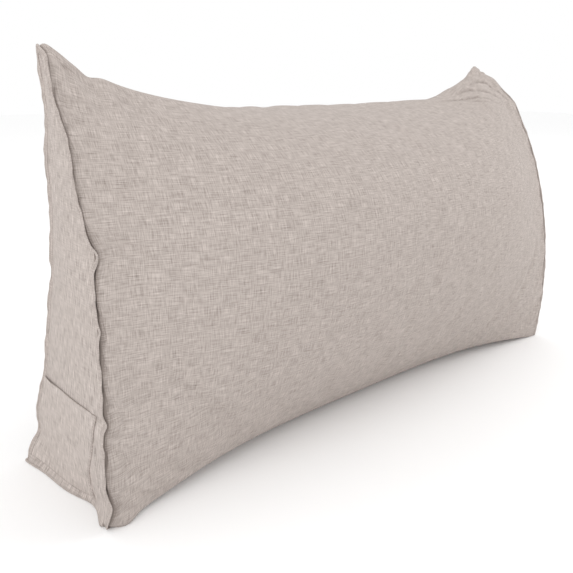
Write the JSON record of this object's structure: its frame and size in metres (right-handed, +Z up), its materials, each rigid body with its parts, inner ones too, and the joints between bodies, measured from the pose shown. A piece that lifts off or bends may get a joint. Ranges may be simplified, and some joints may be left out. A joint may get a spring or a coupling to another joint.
{
  "type": "wedge pillow",
  "caption": "Long stuffed wedge pillow in a linen-look cloth, with a sloping front, a rounded crown, flanged triangular end panels and a small side pocket.",
  "frame": {"origin": "middle of the bounding box, on the surface that the pillow stands on", "axes": "+X along the pillow, -Y out of the sloping front, +Z up"},
  "size_m": [0.8866, 0.314, 0.5076],
  "materials": {
    "cover": "matte heathered linen-look weave, greige",
    "flange": "matte heathered linen-look weave, folded and topstitched",
    "pocket": "matte heathered linen-look weave, hemmed at the mouth"
  },
  "bodies": {
    "root": {"wedge_body": "cover", "flange_left": "flange", "flange_right": "flange", "pocket_left": "pocket"}
  },
  "joints": []
}
